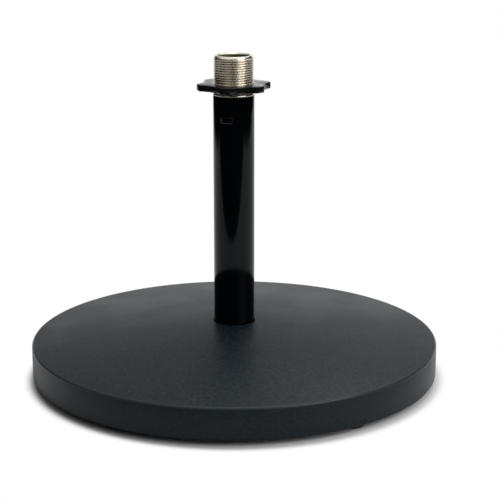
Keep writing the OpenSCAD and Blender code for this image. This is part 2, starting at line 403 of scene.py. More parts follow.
# %% Turn the bush and cut its thread
PITCH = 25.4 * MM / 27
GROOVE_OPENING = 0.62 * MM
BUSH_BORE = 5.95 * MM
SHOULDER_HEIGHT = 2 * MM
SHOULDER_BAND = 0.4 * MM
SHOULDER_LEDGE = 0.3 * MM
NECK_DEPTH = 0.7 * MM
NECK_LENGTH = 2.5 * MM
MOUTH_CHAMFER = 0.5 * MM
MOUTH_DROP = 0.95 * MM
BORE_CHAMFER = 0.6 * MM
SPIGOT_EDGE = 0.4 * MM
BORE_EDGE = 0.3 * MM
TURNED_EDGE = 0.15 * MM
MOUTH_EDGE = 0.12 * MM
NECK_EDGE = 0.1 * MM
NECK_FILLET = 0.2 * MM

shoulder_z = tube_high.z + SHOULDER_HEIGHT
mouth_edge_z = bush_high.z - MOUTH_DROP
lip_radius = BUSH_BORE + BORE_CHAMFER
neck_radius = thread_radius - NECK_DEPTH
first_crest_z = shoulder_z + NECK_LENGTH

bush = turn_on_lathe("bush", [
    (BUSH_BORE, bush_low.z, BORE_EDGE),
    (bore_radius, bush_low.z, SPIGOT_EDGE),
    (bore_radius, tube_high.z),
    (tube_radius, tube_high.z, TURNED_EDGE),
    (tube_radius, tube_high.z + SHOULDER_BAND, TURNED_EDGE),
    (neck_radius + SHOULDER_LEDGE, shoulder_z, NECK_EDGE),
    (neck_radius, shoulder_z, NECK_EDGE),
    (neck_radius, first_crest_z - NECK_DEPTH, NECK_FILLET),
    (thread_radius, first_crest_z),
    (thread_radius, mouth_edge_z, TURNED_EDGE),
    (thread_radius - MOUTH_CHAMFER, bush_high.z, MOUTH_EDGE),
    (lip_radius, bush_high.z, MOUTH_EDGE),
    (BUSH_BORE, bush_high.z - BORE_CHAMFER),
], steps=TURN_STEPS)
cut(bush, thread_cutter(
    "bush_thread", thread_radius, GROOVE_OPENING, PITCH, first_crest_z - PITCH, bush_high.z + PITCH,
))
smooth(bush, degrees=35)
report_fit(bush, "thread_bush")

# %% [markdown]
# The lock nut is a black star with six squared lobes round a plain metal ring. The star starts as a
# disc. Six round cutters take out the shallow valleys between the lobes, and a Bevel modifier breaks
# the sharp edges, which is what gives the lobes their soft glints.

# %% Cut the star grip
LOBES = 6
LOBE_ANGLE = math.radians(16)
LOBE_TIP = 3.8 * MM
STAR_RADIUS = 14.75 * MM
VALLEY_DEPTH = 2.3 * MM
STAR_BEVEL = 0.3 * MM
STAR_BEVEL_STEPS = 3
STAR_SHARP_ANGLE = math.radians(40)
STAR_SIDES = 192

star_low, star_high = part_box("lock_nut_grip")
valley_bottom = STAR_RADIUS - VALLEY_DEPTH
corner_angle = math.pi / LOBES - math.asin(LOBE_TIP / 2 / STAR_RADIUS)
corner_x = STAR_RADIUS * math.cos(corner_angle)
valley_x = (STAR_RADIUS ** 2 - valley_bottom ** 2) / (2 * (corner_x - valley_bottom))
star_under = star_low.z - CUT_PAST
star_over = star_high.z + CUT_PAST

star = rod("nut_star", STAR_RADIUS, star_low.z, star_high.z, sides=STAR_SIDES)
for lobe in range(LOBES):
    angle = LOBE_ANGLE + (lobe + 0.5) * math.tau / LOBES
    spot = (valley_x * math.cos(angle), valley_x * math.sin(angle))
    cut(star, rod("valley", valley_x - valley_bottom, star_under, star_over, spot, STAR_SIDES))
bevel = star.modifiers.new("broken_edges", "BEVEL")
bevel.width = STAR_BEVEL
bevel.segments = STAR_BEVEL_STEPS
bevel.limit_method = "ANGLE"
bevel.angle_limit = STAR_SHARP_ANGLE
bpy.ops.object.modifier_apply(modifier=bevel.name)
print(faces_of(star), f"with {LOBES} lobes")

# %% [markdown]
# The ring inside the star carries the nut's own thread. Bare metal shows as a bright lip on both
# sides of the thread in the photograph. A collar half way up keys it into the star, which has been
# moulded round it, so the star gets a bore and a cavity of the same shape with a hair of room.
# They are cut after the bevel, so that their edges stay crisp.

# %% Turn the nut's ring
RING_BORE = 7.98 * MM
RING_LIP = 8.58 * MM
COLLAR_RADIUS = 9.78 * MM
COLLAR_HEIGHT = 1.1 * MM
RING_PLAY = 0.05 * MM
RING_BORE_EDGE = 0.2 * MM
RING_LIP_EDGE = 0.1 * MM

ring_low, ring_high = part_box("lock_nut_ring")
ring_middle = (ring_low.z + ring_high.z) / 2
collar_low = ring_middle - COLLAR_HEIGHT / 2
collar_high = ring_middle + COLLAR_HEIGHT / 2

cut(star, rod("star_bore", RING_LIP + RING_PLAY, star_under, star_over, sides=LATHE_STEPS))
cut(star, rod(
    "cavity", COLLAR_RADIUS + RING_PLAY, collar_low - RING_PLAY, collar_high + RING_PLAY,
    sides=LATHE_STEPS,
))
smooth(star, degrees=35)
report_fit(star, "lock_nut_grip")

nut_ring = turn_on_lathe("nut_ring", [
    (RING_BORE, ring_low.z, RING_BORE_EDGE),
    (RING_LIP, ring_low.z),
    (RING_LIP, collar_low),
    (COLLAR_RADIUS, collar_low, TURNED_EDGE),
    (COLLAR_RADIUS, collar_high, TURNED_EDGE),
    (RING_LIP, collar_high),
    (RING_LIP, ring_high.z, RING_LIP_EDGE),
    (RING_BORE, ring_high.z, RING_BORE_EDGE),
])
smooth(nut_ring)
report_fit(nut_ring, "lock_nut_ring")

# %% [markdown]
# Underneath, one hexagon bolt pulls the tube down into its socket. Its head is a six-sided bar whose
# lower corners are turned off: Blender makes that by keeping only what lies inside a flat cone,
# a Boolean intersection. The shank is a lathe piece with its own thread, joined by a Boolean union.

# %% Make the clamp bolt
BOLT_RADIUS = 4 * MM
BOLT_PITCH = 1.25 * MM
BOLT_GROOVE = 1.05 * MM
BOLT_FLATS = 13 * MM
HEAD_HEIGHT = 5.3 * MM
HEAD_SLOPE = math.tan(math.radians(30))
TIP_CHAMFER = 0.8 * MM
PLAIN_SHANK = 3 * MM
HEX_SIDES = 6
SHANK_STEPS = 96

bolt_low, bolt_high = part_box("clamp_bolt")
head_z = bolt_low.z + HEAD_HEIGHT
head_corner = BOLT_FLATS / 2 / math.cos(math.pi / HEX_SIDES)
cone_top = bolt_low.z + (head_corner + CUT_PAST - BOLT_FLATS / 2) * HEAD_SLOPE

bolt = rod("hex_bolt", head_corner, bolt_low.z, head_z, sides=HEX_SIDES, turn=math.pi / HEX_SIDES)
cut(bolt, turn_on_lathe("head_cone", [
    (0, bolt_low.z),
    (BOLT_FLATS / 2, bolt_low.z),
    (head_corner + CUT_PAST, cone_top),
    (head_corner + CUT_PAST, head_z + CUT_PAST),
    (0, head_z + CUT_PAST),
]), "INTERSECT")
shank = turn_on_lathe("shank", [
    (0, head_z - CUT_PAST),
    (BOLT_RADIUS, head_z - CUT_PAST),
    (BOLT_RADIUS, bolt_high.z - TIP_CHAMFER),
    (BOLT_RADIUS - TIP_CHAMFER, bolt_high.z),
    (0, bolt_high.z),
], steps=SHANK_STEPS)
cut(shank, thread_cutter(
    "bolt_thread", BOLT_RADIUS, BOLT_GROOVE, BOLT_PITCH, head_z + PLAIN_SHANK, bolt_high.z + BOLT_PITCH,
))
cut(bolt, shank, "UNION")
smooth(bolt, degrees=28)
report_fit(bolt, "clamp_bolt")

# %% [markdown]
# Two washers sit between the bolt's head and the casting. The flat one is a stamped ring with rounded
# edges. The spring washer is a thicker ring with a slit, which bites when the bolt is tightened.
# Both are lathe pieces, and a block cuts the slit.

# %% Turn the washers
WASHER_BORE = 4.2 * MM
SLIT_WIDTH = 1.5 * MM
STAMPED_EDGE = 0.25 * MM
SPRING_EDGE = 0.15 * MM

split_low, split_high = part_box("spring_washer")


def turn_washer(name, low, high, rounding):
    """A flat ring with rounded edges, between the corners of its node's box."""
    return turn_on_lathe(name, [
        (WASHER_BORE, low.z, rounding),
        (high.y, low.z, rounding),
        (high.y, high.z, rounding),
        (WASHER_BORE, high.z, rounding),
    ])


flat_ring = turn_washer("flat_ring", washer_low, washer_high, STAMPED_EDGE)
split_ring = turn_washer("split_ring", split_low, split_high, SPRING_EDGE)

deselect_all()
bpy.ops.mesh.primitive_cube_add(size=1, location=(split_high.y, 0, (split_low.z + split_high.z) / 2))
slit = bpy.context.object
slit.name = "slit"
slit_height = split_high.z - split_low.z + 2 * CUT_PAST
slit.scale = (2 * (split_high.y - CUT_PAST), SLIT_WIDTH, slit_height)
bpy.ops.object.transform_apply(location=True, rotation=True, scale=True)
cut(split_ring, slit)

for piece, node in ((flat_ring, "flat_washer"), (split_ring, "spring_washer")):
    smooth(piece)
    report_fit(piece, node)

# %% [markdown]
# The bolt needs something to screw into: a short steel plug, fixed inside the tube's foot and drilled
# through. It is hidden, but a model that comes apart should hold what the real thing holds.

# %% Turn the plug
PLUG_BORE = 4.03 * MM
PLUG_CHAMFER = 0.5 * MM

plug_low, plug_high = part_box("tube_plug")
plug = turn_on_lathe("plug", [
    (PLUG_BORE + PLUG_CHAMFER, plug_low.z),
    (bore_radius - PLUG_CHAMFER, plug_low.z),
    (bore_radius, plug_low.z + PLUG_CHAMFER),
    (bore_radius, plug_high.z - PLUG_CHAMFER),
    (bore_radius - PLUG_CHAMFER, plug_high.z),
    (PLUG_BORE + PLUG_CHAMFER, plug_high.z),
    (PLUG_BORE, plug_high.z - PLUG_CHAMFER),
    (PLUG_BORE, plug_low.z + PLUG_CHAMFER),
])
smooth(plug)
report_fit(plug, "tube_plug")

# %% [markdown]
# Each foot is a soft rubber button with a rounded sole, a moulded dimple in its middle and a stem that
# plugs into the casting. It is modelled once, on the axis, and then duplicated. A linked duplicate
# would share one mesh and keep its place in the object, so each copy gets its own mesh, and the mesh
# is moved inside edit mode.

# %% Mould the feet
DIMPLE_RADIUS = 1.6 * MM
DIMPLE_DEPTH = 0.35 * MM
SOLE_ROUNDING = 0.6 * MM
DIMPLE_FILLET = 0.2 * MM
FOOT_EDGE = 0.15 * MM
FOOT_STEPS = 72

first_foot = turn_on_lathe("foot_1", [
    (0, DIMPLE_DEPTH),
    (DIMPLE_RADIUS, DIMPLE_DEPTH, DIMPLE_FILLET),
    (DIMPLE_RADIUS + DIMPLE_DEPTH, 0, FOOT_EDGE),
    (foot_radius, 0, SOLE_ROUNDING),
    (foot_radius, pocket_z, FOOT_EDGE),
    (STEM_RADIUS, pocket_z),
    (STEM_RADIUS, foot_top, SOLE_ROUNDING),
    (0, foot_top),
], steps=FOOT_STEPS)
smooth(first_foot)
feet = [first_foot]
for number in range(2, FOOT_COUNT + 1):
    take_up(first_foot)
    bpy.ops.object.duplicate(linked=False)
    copy = bpy.context.object
    copy.name = copy.data.name = f"foot_{number}"
    feet.append(copy)
for foot, place, name in zip(feet, foot_places, foot_names):
    take_up(foot)
    pick_points(foot, lambda co: True)
    bpy.ops.transform.translate(value=(place.x, place.y, 0))
    bpy.ops.object.mode_set(mode="OBJECT")
    report_fit(foot, name)

# %% [markdown]
# Finishes come next. A material is a small tree of nodes, and writing each link by hand hides what it
# does. These helpers add a node and fill its sockets: a plain value is typed in, and an output of
# another node is linked. A ramp turns one range of values smoothly into another.

# %% Add nodes in one line
def add_node(tree, kind, inputs=None, **settings):
    """Add a node, set its options, and fill its inputs with values or with links."""
    node = tree.nodes.new(kind)
    for option, value in settings.items():
        setattr(node, option, value)
    for socket, value in (inputs or {}).items():
        if isinstance(value, bpy.types.NodeSocket):
            tree.links.new(value, node.inputs[socket])
        else:
            node.inputs[socket].default_value = value
    return node


def ramp(tree, value, low, high, to_low=0.0, to_high=1.0):
    """A smooth ramp from one range of values to another."""
    return add_node(tree, "ShaderNodeMapRange", {
        "Value": value, "From Min": low, "From Max": high, "To Min": to_low, "To Max": to_high,
    }, interpolation_type="SMOOTHSTEP").outputs["Result"]


def reckon(tree, operation, first, second):
    """One step of arithmetic on two values."""
    return add_node(tree, "ShaderNodeMath", {0: first, 1: second}, operation=operation).outputs["Value"]


def noise(tree, place, scale, detail):
    """Cloudy noise, looked up at a place."""
    return add_node(tree, "ShaderNodeTexNoise", {
        "Vector": place, "Scale": scale, "Detail": detail,
    }).outputs["Fac"]


def object_place(tree):
    """The point on the piece, in metres, which stays with the piece when it moves."""
    return add_node(tree, "ShaderNodeTexCoord").outputs["Object"]


def round_place(tree):
    """The point on a lathe piece as its distance from the axis and its height."""
    axes = add_node(tree, "ShaderNodeSeparateXYZ", {"Vector": object_place(tree)}).outputs
    flat = add_node(tree, "ShaderNodeCombineXYZ", {"X": axes["X"], "Y": axes["Y"]}).outputs["Vector"]
    radius = add_node(tree, "ShaderNodeVectorMath", {0: flat}, operation="LENGTH").outputs["Value"]
    return radius, axes["Z"]


# %% [markdown]
# What several finishes share is a node group: a little machine with named sockets that is built once
# and placed in each material. This helper makes an empty one. The group gives only what varies over
# the surface, and everything else stays on the material's own shader.

# %% Start a node group
def start_group(name, inputs, outputs):
    """An empty shader node group with number sockets: its tree, its inputs and its end."""
    group = bpy.data.node_groups.new(name, "ShaderNodeTree")
    for label, value in inputs.items():
        socket = group.interface.new_socket(label, in_out="INPUT", socket_type="NodeSocketFloat")
        socket.default_value = value
    for label in outputs:
        group.interface.new_socket(label, in_out="OUTPUT", socket_type="NodeSocketFloat")
    start = group.nodes.new("NodeGroupInput")
    end = group.nodes.new("NodeGroupOutput")
    print("group:", name)
    return group, start.outputs, end.inputs


# %% [markdown]
# Paint, moulded plastic and rubber all have a fine grain, a mottle that is about two grains wide, and
# broader patches where they are a little duller. All three are Noise at different sizes. Grains says
# how many fit in a metre, and the mottle follows it. An edge says between which two values of the
# noise a spot fades in.

# %% Group: fine grain
PATCHES_PER_METRE = 45.0
MOTTLE_SHARE = 0.45
MOTTLE_EDGE = (0.3, 0.7)
PATCH_EDGE = (0.35, 0.65)

grain_group, sockets, end = start_group(
    "fine_grain", {"Grains": 2000.0}, ("Height", "Mottle", "Patches"),
)
here = object_place(grain_group)
grain_group.links.new(noise(grain_group, here, sockets["Grains"], detail=3.0), end["Height"])
spots = reckon(grain_group, "MULTIPLY", sockets["Grains"], MOTTLE_SHARE)
mottle = noise(grain_group, here, spots, detail=2.0)
grain_group.links.new(ramp(grain_group, mottle, *MOTTLE_EDGE), end["Mottle"])
patches = noise(grain_group, here, PATCHES_PER_METRE, detail=4.0)
grain_group.links.new(ramp(grain_group, patches, *PATCH_EDGE), end["Patches"])

# %% [markdown]
# Anything that is handled gets faint marks: short hairlines and smudges that only show in the gloss.
# Noise that is squeezed in one direction makes streaks, and a steep ramp keeps only a few of them.

# %% Group: handling marks
SMUDGES_PER_METRE = 60.0
HAIR_SQUEEZE = 0.06
HAIR_SLANT = (0.5, 0.35, 0.2)
HAIR_EDGE = (0.62, 0.72)
SMUDGE_EDGE = (0.4, 0.7)
SMUDGE_STRENGTH = 0.6

marks_group, sockets, end = start_group("handling_marks", {"Marks": 300.0}, ("Mask",))
here = object_place(marks_group)
squeezed = add_node(marks_group, "ShaderNodeMapping", {
    "Vector": here, "Rotation": HAIR_SLANT, "Scale": (1.0, 1.0, HAIR_SQUEEZE),
}).outputs["Vector"]
streaks = noise(marks_group, squeezed, sockets["Marks"], detail=2.0)
clouds = noise(marks_group, here, SMUDGES_PER_METRE, detail=3.0)
hairs = ramp(marks_group, streaks, *HAIR_EDGE)
smudges = ramp(marks_group, clouds, *SMUDGE_EDGE, to_high=SMUDGE_STRENGTH)
marks_group.links.new(reckon(marks_group, "MAXIMUM", hairs, smudges), end["Mask"])

# %% [markdown]
# A lathe tool leaves fine lines that run round the axis. They depend only on the distance from the
# axis and on the height, so those two numbers are the place where the noise is looked up, and every
# line closes on itself.

# %% Group: turned lines
lines_group, sockets, end = start_group("turned_lines", {"Lines": 9000.0}, ("Height",))
radius, height = round_place(lines_group)
here = add_node(lines_group, "ShaderNodeCombineXYZ", {"X": radius, "Y": height}).outputs["Vector"]
lines_group.links.new(noise(lines_group, here, sockets["Lines"], detail=2.0), end["Height"])

# %% [markdown]
# Painted highlights on an edge, painted shade in a groove and chips in paint sit at a certain distance
# from the axis and a certain height. This group turns both into one mask, with a smooth start and end.

# %% Group: round band
ANY_HEIGHT = {"Height From": -2.0, "Height To": -1.0}

band_group, sockets, end = start_group(
    "round_band", {"Radius From": 0.0, "Radius To": 1.0, **ANY_HEIGHT}, ("Mask",),
)
radius, height = round_place(band_group)
in_radius = ramp(band_group, radius, sockets["Radius From"], sockets["Radius To"])
in_height = ramp(band_group, height, sockets["Height From"], sockets["Height To"])
band_group.links.new(reckon(band_group, "MULTIPLY", in_radius, in_height), end["Mask"])

# %% [markdown]
# Every material starts from the Principled BSDF, whose own sockets hold what is the same all over.
# What varies is linked: a mask mixes two colours or two roughnesses, and a height goes through a
# Bump node into the normal. Where a roughness is written as a pair, it is the one of clean places
# and the one of worn or dusty places.

# %% Start a material
def start_material(name, values):
    """A material with a Principled BSDF whose sockets are set to plain values."""
    material = bpy.data.materials.new(name)
    material.use_nodes = True
    shader = material.node_tree.nodes["Principled BSDF"]
    for socket, value in values.items():
        shader.inputs[socket].default_value = value
    print("finish:", name)
    return material, material.node_tree, shader.inputs


def place_group(tree, group, **inputs):
    """Place a group in a material, set its inputs and give its outputs."""
    node = add_node(tree, "ShaderNodeGroup", node_tree=group)
    for socket, value in inputs.items():
        node.inputs[socket.replace("_", " ")].default_value = value
    return node.outputs


def mix_colours(tree, mask, first, second):
    """Fade from one colour to another where the mask goes from 0 to 1.

    The Mix node lists sockets for every kind of data. Those for colours are 6 and 7, and output 2.
    """
    node = add_node(tree, "ShaderNodeMix", {"Factor": mask}, data_type="RGBA")
    for socket, colour in ((node.inputs[6], first), (node.inputs[7], second)):
        if isinstance(colour, bpy.types.NodeSocket):
            tree.links.new(colour, socket)
        else:
            socket.default_value = (*colour, 1)
    return node.outputs[2]


def mix_values(tree, mask, first, second):
    """Fade from one value to another where the mask goes from 0 to 1."""
    return ramp(tree, mask, 0.0, 1.0, first, second)


def bump(tree, height, distance):
    """Turn a height into a normal, with the height's size given in metres."""
    return add_node(tree, "ShaderNodeBump", {"Height": height, "Distance": distance}).outputs["Normal"]


# %% [markdown]
# The casting wears a black satin powder coat: fine-grained, mottled, not quite neutral, and a little
# duller in patches. The mottle is mostly dust; the upright rim gets only part of it, so the rim is
# darker than the top. On the rounded edge of the rim and round the socket, masks made from height and
# distance make the coat less rough, as on worn edges, and paint it lighter, which is a painted
# highlight.

# %% Finish: base coat
COAT_BLACK = (0.0008, 0.0038, 0.0064)
COAT_DUSTY = (0.0074, 0.015, 0.0201)
# The lighter colour of the rim's edge and the socket's edge is a painted highlight.
COAT_EDGE_GLINT = (0.02, 0.026, 0.03)
COAT_ROUGH = (0.4, 0.44)
COAT_POLISH = 0.15
COAT_BUMP = 0.04 * MM
RIM_MOTTLE_SHARE = 0.35
RIM_FADE = 1 * MM
GLINT_IN = 1.1 * MM
GLINT_DOWN = 1.3 * MM
FULL_GLINT_IN = 0.2 * MM
FULL_GLINT_DOWN = 0.3 * MM
SOFT_EDGE = 0.1 * MM

coat, tree, surface = start_material("satin_coat", {"Specular IOR Level": 0.18})
grain = place_group(tree, grain_group, Grains=1900.0)
# Painted highlight: the rim's rounded edge and the edge round the socket are painted lighter, and are
# less rough.
edge_glint_and_polish = place_group(
    tree, band_group,
    Radius_From=base_radius - GLINT_IN, Radius_To=base_radius - FULL_GLINT_IN,
    Height_From=rim_z - GLINT_DOWN, Height_To=rim_z - FULL_GLINT_DOWN,
)["Mask"]
socket_glint = place_group(
    tree, band_group, Radius_From=mouth_radius + SOFT_EDGE, Radius_To=mouth_radius - SOFT_EDGE,
)["Mask"]
edge_glint_and_polish = reckon(tree, "MAXIMUM", edge_glint_and_polish, socket_glint)
on_top = place_group(
    tree, band_group, Radius_From=base_radius - SOFT_EDGE, Radius_To=base_radius - RIM_FADE,
)["Mask"]
# The upright rim gets only part of the lighter mottle, so it is darker than the top.
dust = reckon(tree, "MULTIPLY", grain["Mottle"], mix_values(tree, on_top, RIM_MOTTLE_SHARE, 1.0))
tint = mix_colours(tree, dust, COAT_BLACK, COAT_DUSTY)
tree.links.new(mix_colours(tree, edge_glint_and_polish, tint, COAT_EDGE_GLINT), surface["Base Color"])
satin = mix_values(tree, grain["Patches"], *COAT_ROUGH)
polish = mix_values(tree, edge_glint_and_polish, 0.0, COAT_POLISH)
tree.links.new(reckon(tree, "SUBTRACT", satin, polish), surface["Roughness"])
tree.links.new(bump(tree, grain["Height"], COAT_BUMP), surface["Normal"])

# %% [markdown]
# The tube has a smooth gloss coat, nearly a black mirror. What makes it paint and not glass is a slow
# waviness, like orange peel, and handling marks that dull the reflection here and there. On the
# sloping edges of the stake mark and of the tube's end the paint is thin and has small chips, and a
# mask of the distance from the axis lightens what lies just under the wall: the chips, together with
# a painted highlight on those edges.

# %% Finish: tube gloss
GLOSS_BLACK = (0.0005, 0.0009, 0.0013)
GLOSS_SMUDGED = (0.0012, 0.0018, 0.0024)
GLOSS_CHIPS_AND_GLINT = (0.05, 0.053, 0.056)
GLOSS_GLINT = (0.78, 0.95, 1.0, 1.0)
GLOSS_ROUGH = (0.08, 0.15)
PEEL_BUMP = 0.004 * MM
CHIP_STARTS = 0.02 * MM
CHIP_FULL = 0.12 * MM

gloss, tree, surface = start_material(
    "gloss_paint", {"Specular IOR Level": 0.15, "Specular Tint": GLOSS_GLINT},
)
marks = place_group(tree, marks_group, Marks=500.0)["Mask"]
peel = place_group(tree, grain_group, Grains=420.0)["Height"]
pit_radius = tube_radius - STAKE_DEPTH
below_wall = place_group(
    tree, band_group, Radius_From=tube_radius - CHIP_STARTS, Radius_To=tube_radius - CHIP_FULL,
)["Mask"]
above_pit = place_group(
    tree, band_group, Radius_From=pit_radius + CHIP_STARTS, Radius_To=pit_radius + CHIP_FULL,
)["Mask"]
# Chips in the paint, together with a painted highlight on the edges of the mark and of the tube's end.
chips_and_glint = reckon(tree, "MULTIPLY", below_wall, above_pit)
tint = mix_colours(tree, marks, GLOSS_BLACK, GLOSS_SMUDGED)
tree.links.new(mix_colours(tree, chips_and_glint, tint, GLOSS_CHIPS_AND_GLINT), surface["Base Color"])
tree.links.new(mix_values(tree, marks, *GLOSS_ROUGH), surface["Roughness"])
tree.links.new(bump(tree, peel, PEEL_BUMP), surface["Normal"])

# %% [markdown]
# The bush and the nut's ring are nickel plated: a warm bright metal with fine lathe lines under the
# plating. The roots of the thread and the neck below it are painted a darker olive brown: painted shade
# in the grooves. The bore is rougher, as plating hardly reaches into it, and painted dark, a painted
# shade inside it. Microphone clips have worn the mouth smooth, and its lighter colour is a painted
# highlight. Three masks made from the distance to the axis and the height paint them in.

# %% Finish: nickel
NICKEL_BRIGHT = (0.7, 0.645, 0.545)
NICKEL_HANDLED = (0.62, 0.565, 0.465)
NICKEL_ROOT_SHADE = (0.4, 0.35, 0.26)
NICKEL_BORE_SHADE = (0.12, 0.108, 0.072)
NICKEL_MOUTH_GLINT = (0.85, 0.8, 0.7)
NICKEL_ROUGH = (0.24, 0.32)
BORE_ROUGHER = 0.25
MOUTH_SMOOTHER = 0.1
RIDGE_BUMP = 0.0004 * MM
ROOT_SHADE_STARTS = 0.1 * MM
ROOT_SHADE_FULL = 0.45 * MM
ROOT_SHADE_FADE = 0.3 * MM
MOUTH_GLINT_FADE = 0.2 * MM

nickel, tree, surface = start_material("nickel_plate", {"Metallic": 1.0})
marks = place_group(tree, marks_group, Marks=250.0)["Mask"]
ridges = place_group(tree, lines_group, Lines=14000.0)["Height"]
# Painted shade: the roots of the thread and the neck below it are painted darker.
root_shade = place_group(
    tree, band_group,
    Radius_From=thread_radius - ROOT_SHADE_STARTS, Radius_To=thread_radius - ROOT_SHADE_FULL,
    Height_From=mouth_edge_z, Height_To=mouth_edge_z - ROOT_SHADE_FADE,
)["Mask"]
# Painted shade: the bore is painted dark, and it is also rougher.
in_bore = place_group(
    tree, band_group, Radius_From=lip_radius - SOFT_EDGE, Radius_To=BUSH_BORE,
)["Mask"]
# Painted highlight: the mouth's chamfer is painted lighter, and it is also smoother.
mouth_glint_and_polish = place_group(
    tree, band_group,
    Radius_From=lip_radius, Radius_To=lip_radius + SOFT_EDGE,
    Height_From=mouth_edge_z, Height_To=mouth_edge_z + MOUTH_GLINT_FADE,
)["Mask"]
tint = mix_colours(tree, marks, NICKEL_BRIGHT, NICKEL_HANDLED)
tint = mix_colours(tree, root_shade, tint, NICKEL_ROOT_SHADE)
tint = mix_colours(tree, mouth_glint_and_polish, tint, NICKEL_MOUTH_GLINT)
tree.links.new(mix_colours(tree, in_bore, tint, NICKEL_BORE_SHADE), surface["Base Color"])
satin = mix_values(tree, marks, *NICKEL_ROUGH)
dull = reckon(tree, "ADD", satin, mix_values(tree, in_bore, 0.0, BORE_ROUGHER))
bright = reckon(tree, "SUBTRACT", dull, mix_values(tree, mouth_glint_and_polish, 0.0, MOUTH_SMOOTHER))
tree.links.new(bright, surface["Roughness"])
tree.links.new(bump(tree, ridges, RIDGE_BUMP), surface["Normal"])

# %% [markdown]
# The star is moulded in black plastic with a low gloss. Its flat faces came off a polished mould, so
# they mirror the backdrop at a low angle, and its grain is finer than the casting's.

# %% Finish: nut black
NUT_BLACK = (0.0035, 0.0038, 0.0042)
NUT_WORN = (0.0055, 0.0058, 0.0062)
NUT_ROUGH = (0.12, 0.2)
NUT_BUMP = 0.004 * MM

black, tree, surface = start_material("moulded_black", {"Specular IOR Level": 0.2})
grain = place_group(tree, grain_group, Grains=4200.0)
marks = place_group(tree, marks_group, Marks=800.0)["Mask"]
tree.links.new(mix_colours(tree, grain["Patches"], NUT_BLACK, NUT_WORN), surface["Base Color"])
tree.links.new(mix_values(tree, marks, *NUT_ROUGH), surface["Roughness"])
tree.links.new(bump(tree, grain["Height"], NUT_BUMP), surface["Normal"])

# %% [markdown]
# The metal underneath is plain hardware. Zinc plating is bluish and slightly blotchy, spring steel is
# darker and scaly, and the plug is bare turned steel. They differ only in their colours, in how rough
# they are and in how fine their lathe lines are, so one function makes all three.

# %% Finishes: hardware metals
MARKS_ROUGHER = 0.15
TOOL_BUMP = 0.006 * MM


def hardware_metal(name, clean, dull, roughness, lines):
    """A metal with blotches, handling marks and lathe lines."""
    material, tree, surface = start_material(name, {"Metallic": 1.0})
    blotches = place_group(tree, grain_group, Grains=1200.0)["Patches"]
    marks = place_group(tree, marks_group, Marks=700.0)["Mask"]
    ridges = place_group(tree, lines_group, Lines=lines)["Height"]
    tree.links.new(mix_colours(tree, blotches, clean, dull), surface["Base Color"])
    rough = mix_values(tree, marks, roughness, roughness + MARKS_ROUGHER)
    tree.links.new(rough, surface["Roughness"])
    tree.links.new(bump(tree, ridges, TOOL_BUMP), surface["Normal"])
    return material


zinc = hardware_metal(
    "zinc_plate", clean=(0.6, 0.62, 0.65), dull=(0.47, 0.49, 0.52), roughness=0.28, lines=5000.0,
)
spring_steel = hardware_metal(
    "dark_spring_steel", clean=(0.3, 0.3, 0.31), dull=(0.2, 0.19, 0.185), roughness=0.4, lines=3500.0,
)
plug_steel = hardware_metal(
    "turned_steel", clean=(0.48, 0.47, 0.45), dull=(0.38, 0.36, 0.33), roughness=0.3, lines=8000.0,
)

# %% [markdown]
# The feet are matt black rubber. Rubber picks up dust from the table, so the patches turn it a little
# grey, and a coarse grain breaks up what gloss it has.

# %% Finish: foot rubber
RUBBER_BLACK = (0.012, 0.012, 0.012)
RUBBER_DUSTY = (0.03, 0.029, 0.027)
RUBBER_ROUGH = (0.72, 0.9)
RUBBER_BUMP = 0.05 * MM

rubber, tree, surface = start_material("soft_rubber", {"Specular IOR Level": 0.3})
grain = place_group(tree, grain_group, Grains=2600.0)
tree.links.new(mix_colours(tree, grain["Patches"], RUBBER_BLACK, RUBBER_DUSTY), surface["Base Color"])
tree.links.new(mix_values(tree, grain["Patches"], *RUBBER_ROUGH), surface["Roughness"])
tree.links.new(bump(tree, grain["Height"], RUBBER_BUMP), surface["Normal"])

# %% [markdown]
# Now each piece is tied to the stand. It rides on a body, so that it moves when that body moves, and
# it stands for the CAD node of the same shape, which is hidden but stays in the physics.

# %% Dress the stand
def dress(piece, material, body, node):
    """Give a piece its finish, its body and the node that it stands for."""
    piece.data.materials.clear()
    piece.data.materials.append(material)
    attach(piece, body)
    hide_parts(node)


dress(base, coat, "stand", "base_casting")
dress(tube, gloss, "stand", "stand_tube")
dress(bush, nickel, "stand", "thread_bush")
dress(star, black, "lock_nut_grip", "lock_nut_grip")
dress(nut_ring, nickel, "lock_nut_ring", "lock_nut_ring")
dress(bolt, zinc, "stand", "clamp_bolt")
dress(flat_ring, zinc, "stand", "flat_washer")
dress(split_ring, spring_steel, "stand", "spring_washer")
dress(plug, plug_steel, "stand", "tube_plug")
for foot, name in zip(feet, foot_names):
    dress(foot, rubber, "stand", name)
print("dressed:", len(frame["nodes"]), "nodes")

# %% [markdown]
# The photograph is a studio picture on white. The floor is a real pale surface, a table that stands a
# little askew, so it takes the shadow under the rim. That shadow is deep on the left and thin on the
# right, so under the base the floor's colour is painted darker as well, a painted shadow that is
# darkest on the left. Further out it turns into plain white for the camera, and behind the stand also
# for the pieces that mirror it. In front it ends just below the picture, because the dark room behind
# the camera is what the tube mirrors there.

# %% Lay the floor
FLOOR_FRONT = -0.16
FLOOR_BACK = 2.0
FLOOR_SIDE = 0.47
FLOOR_TURN = math.radians(-15)
FLOOR_PALE = 0.85
# The floor's colour under the base, a painted shadow, from left to right.
PAINTED_SHADOW_LEFT = 0.2
PAINTED_SHADOW_RIGHT = 0.65
SHADOW_CENTRE = (0.5 * MM, -1 * MM, 0)
SHADOW_START = base_radius - 1 * MM
SHADOW_END = base_radius + 5 * MM


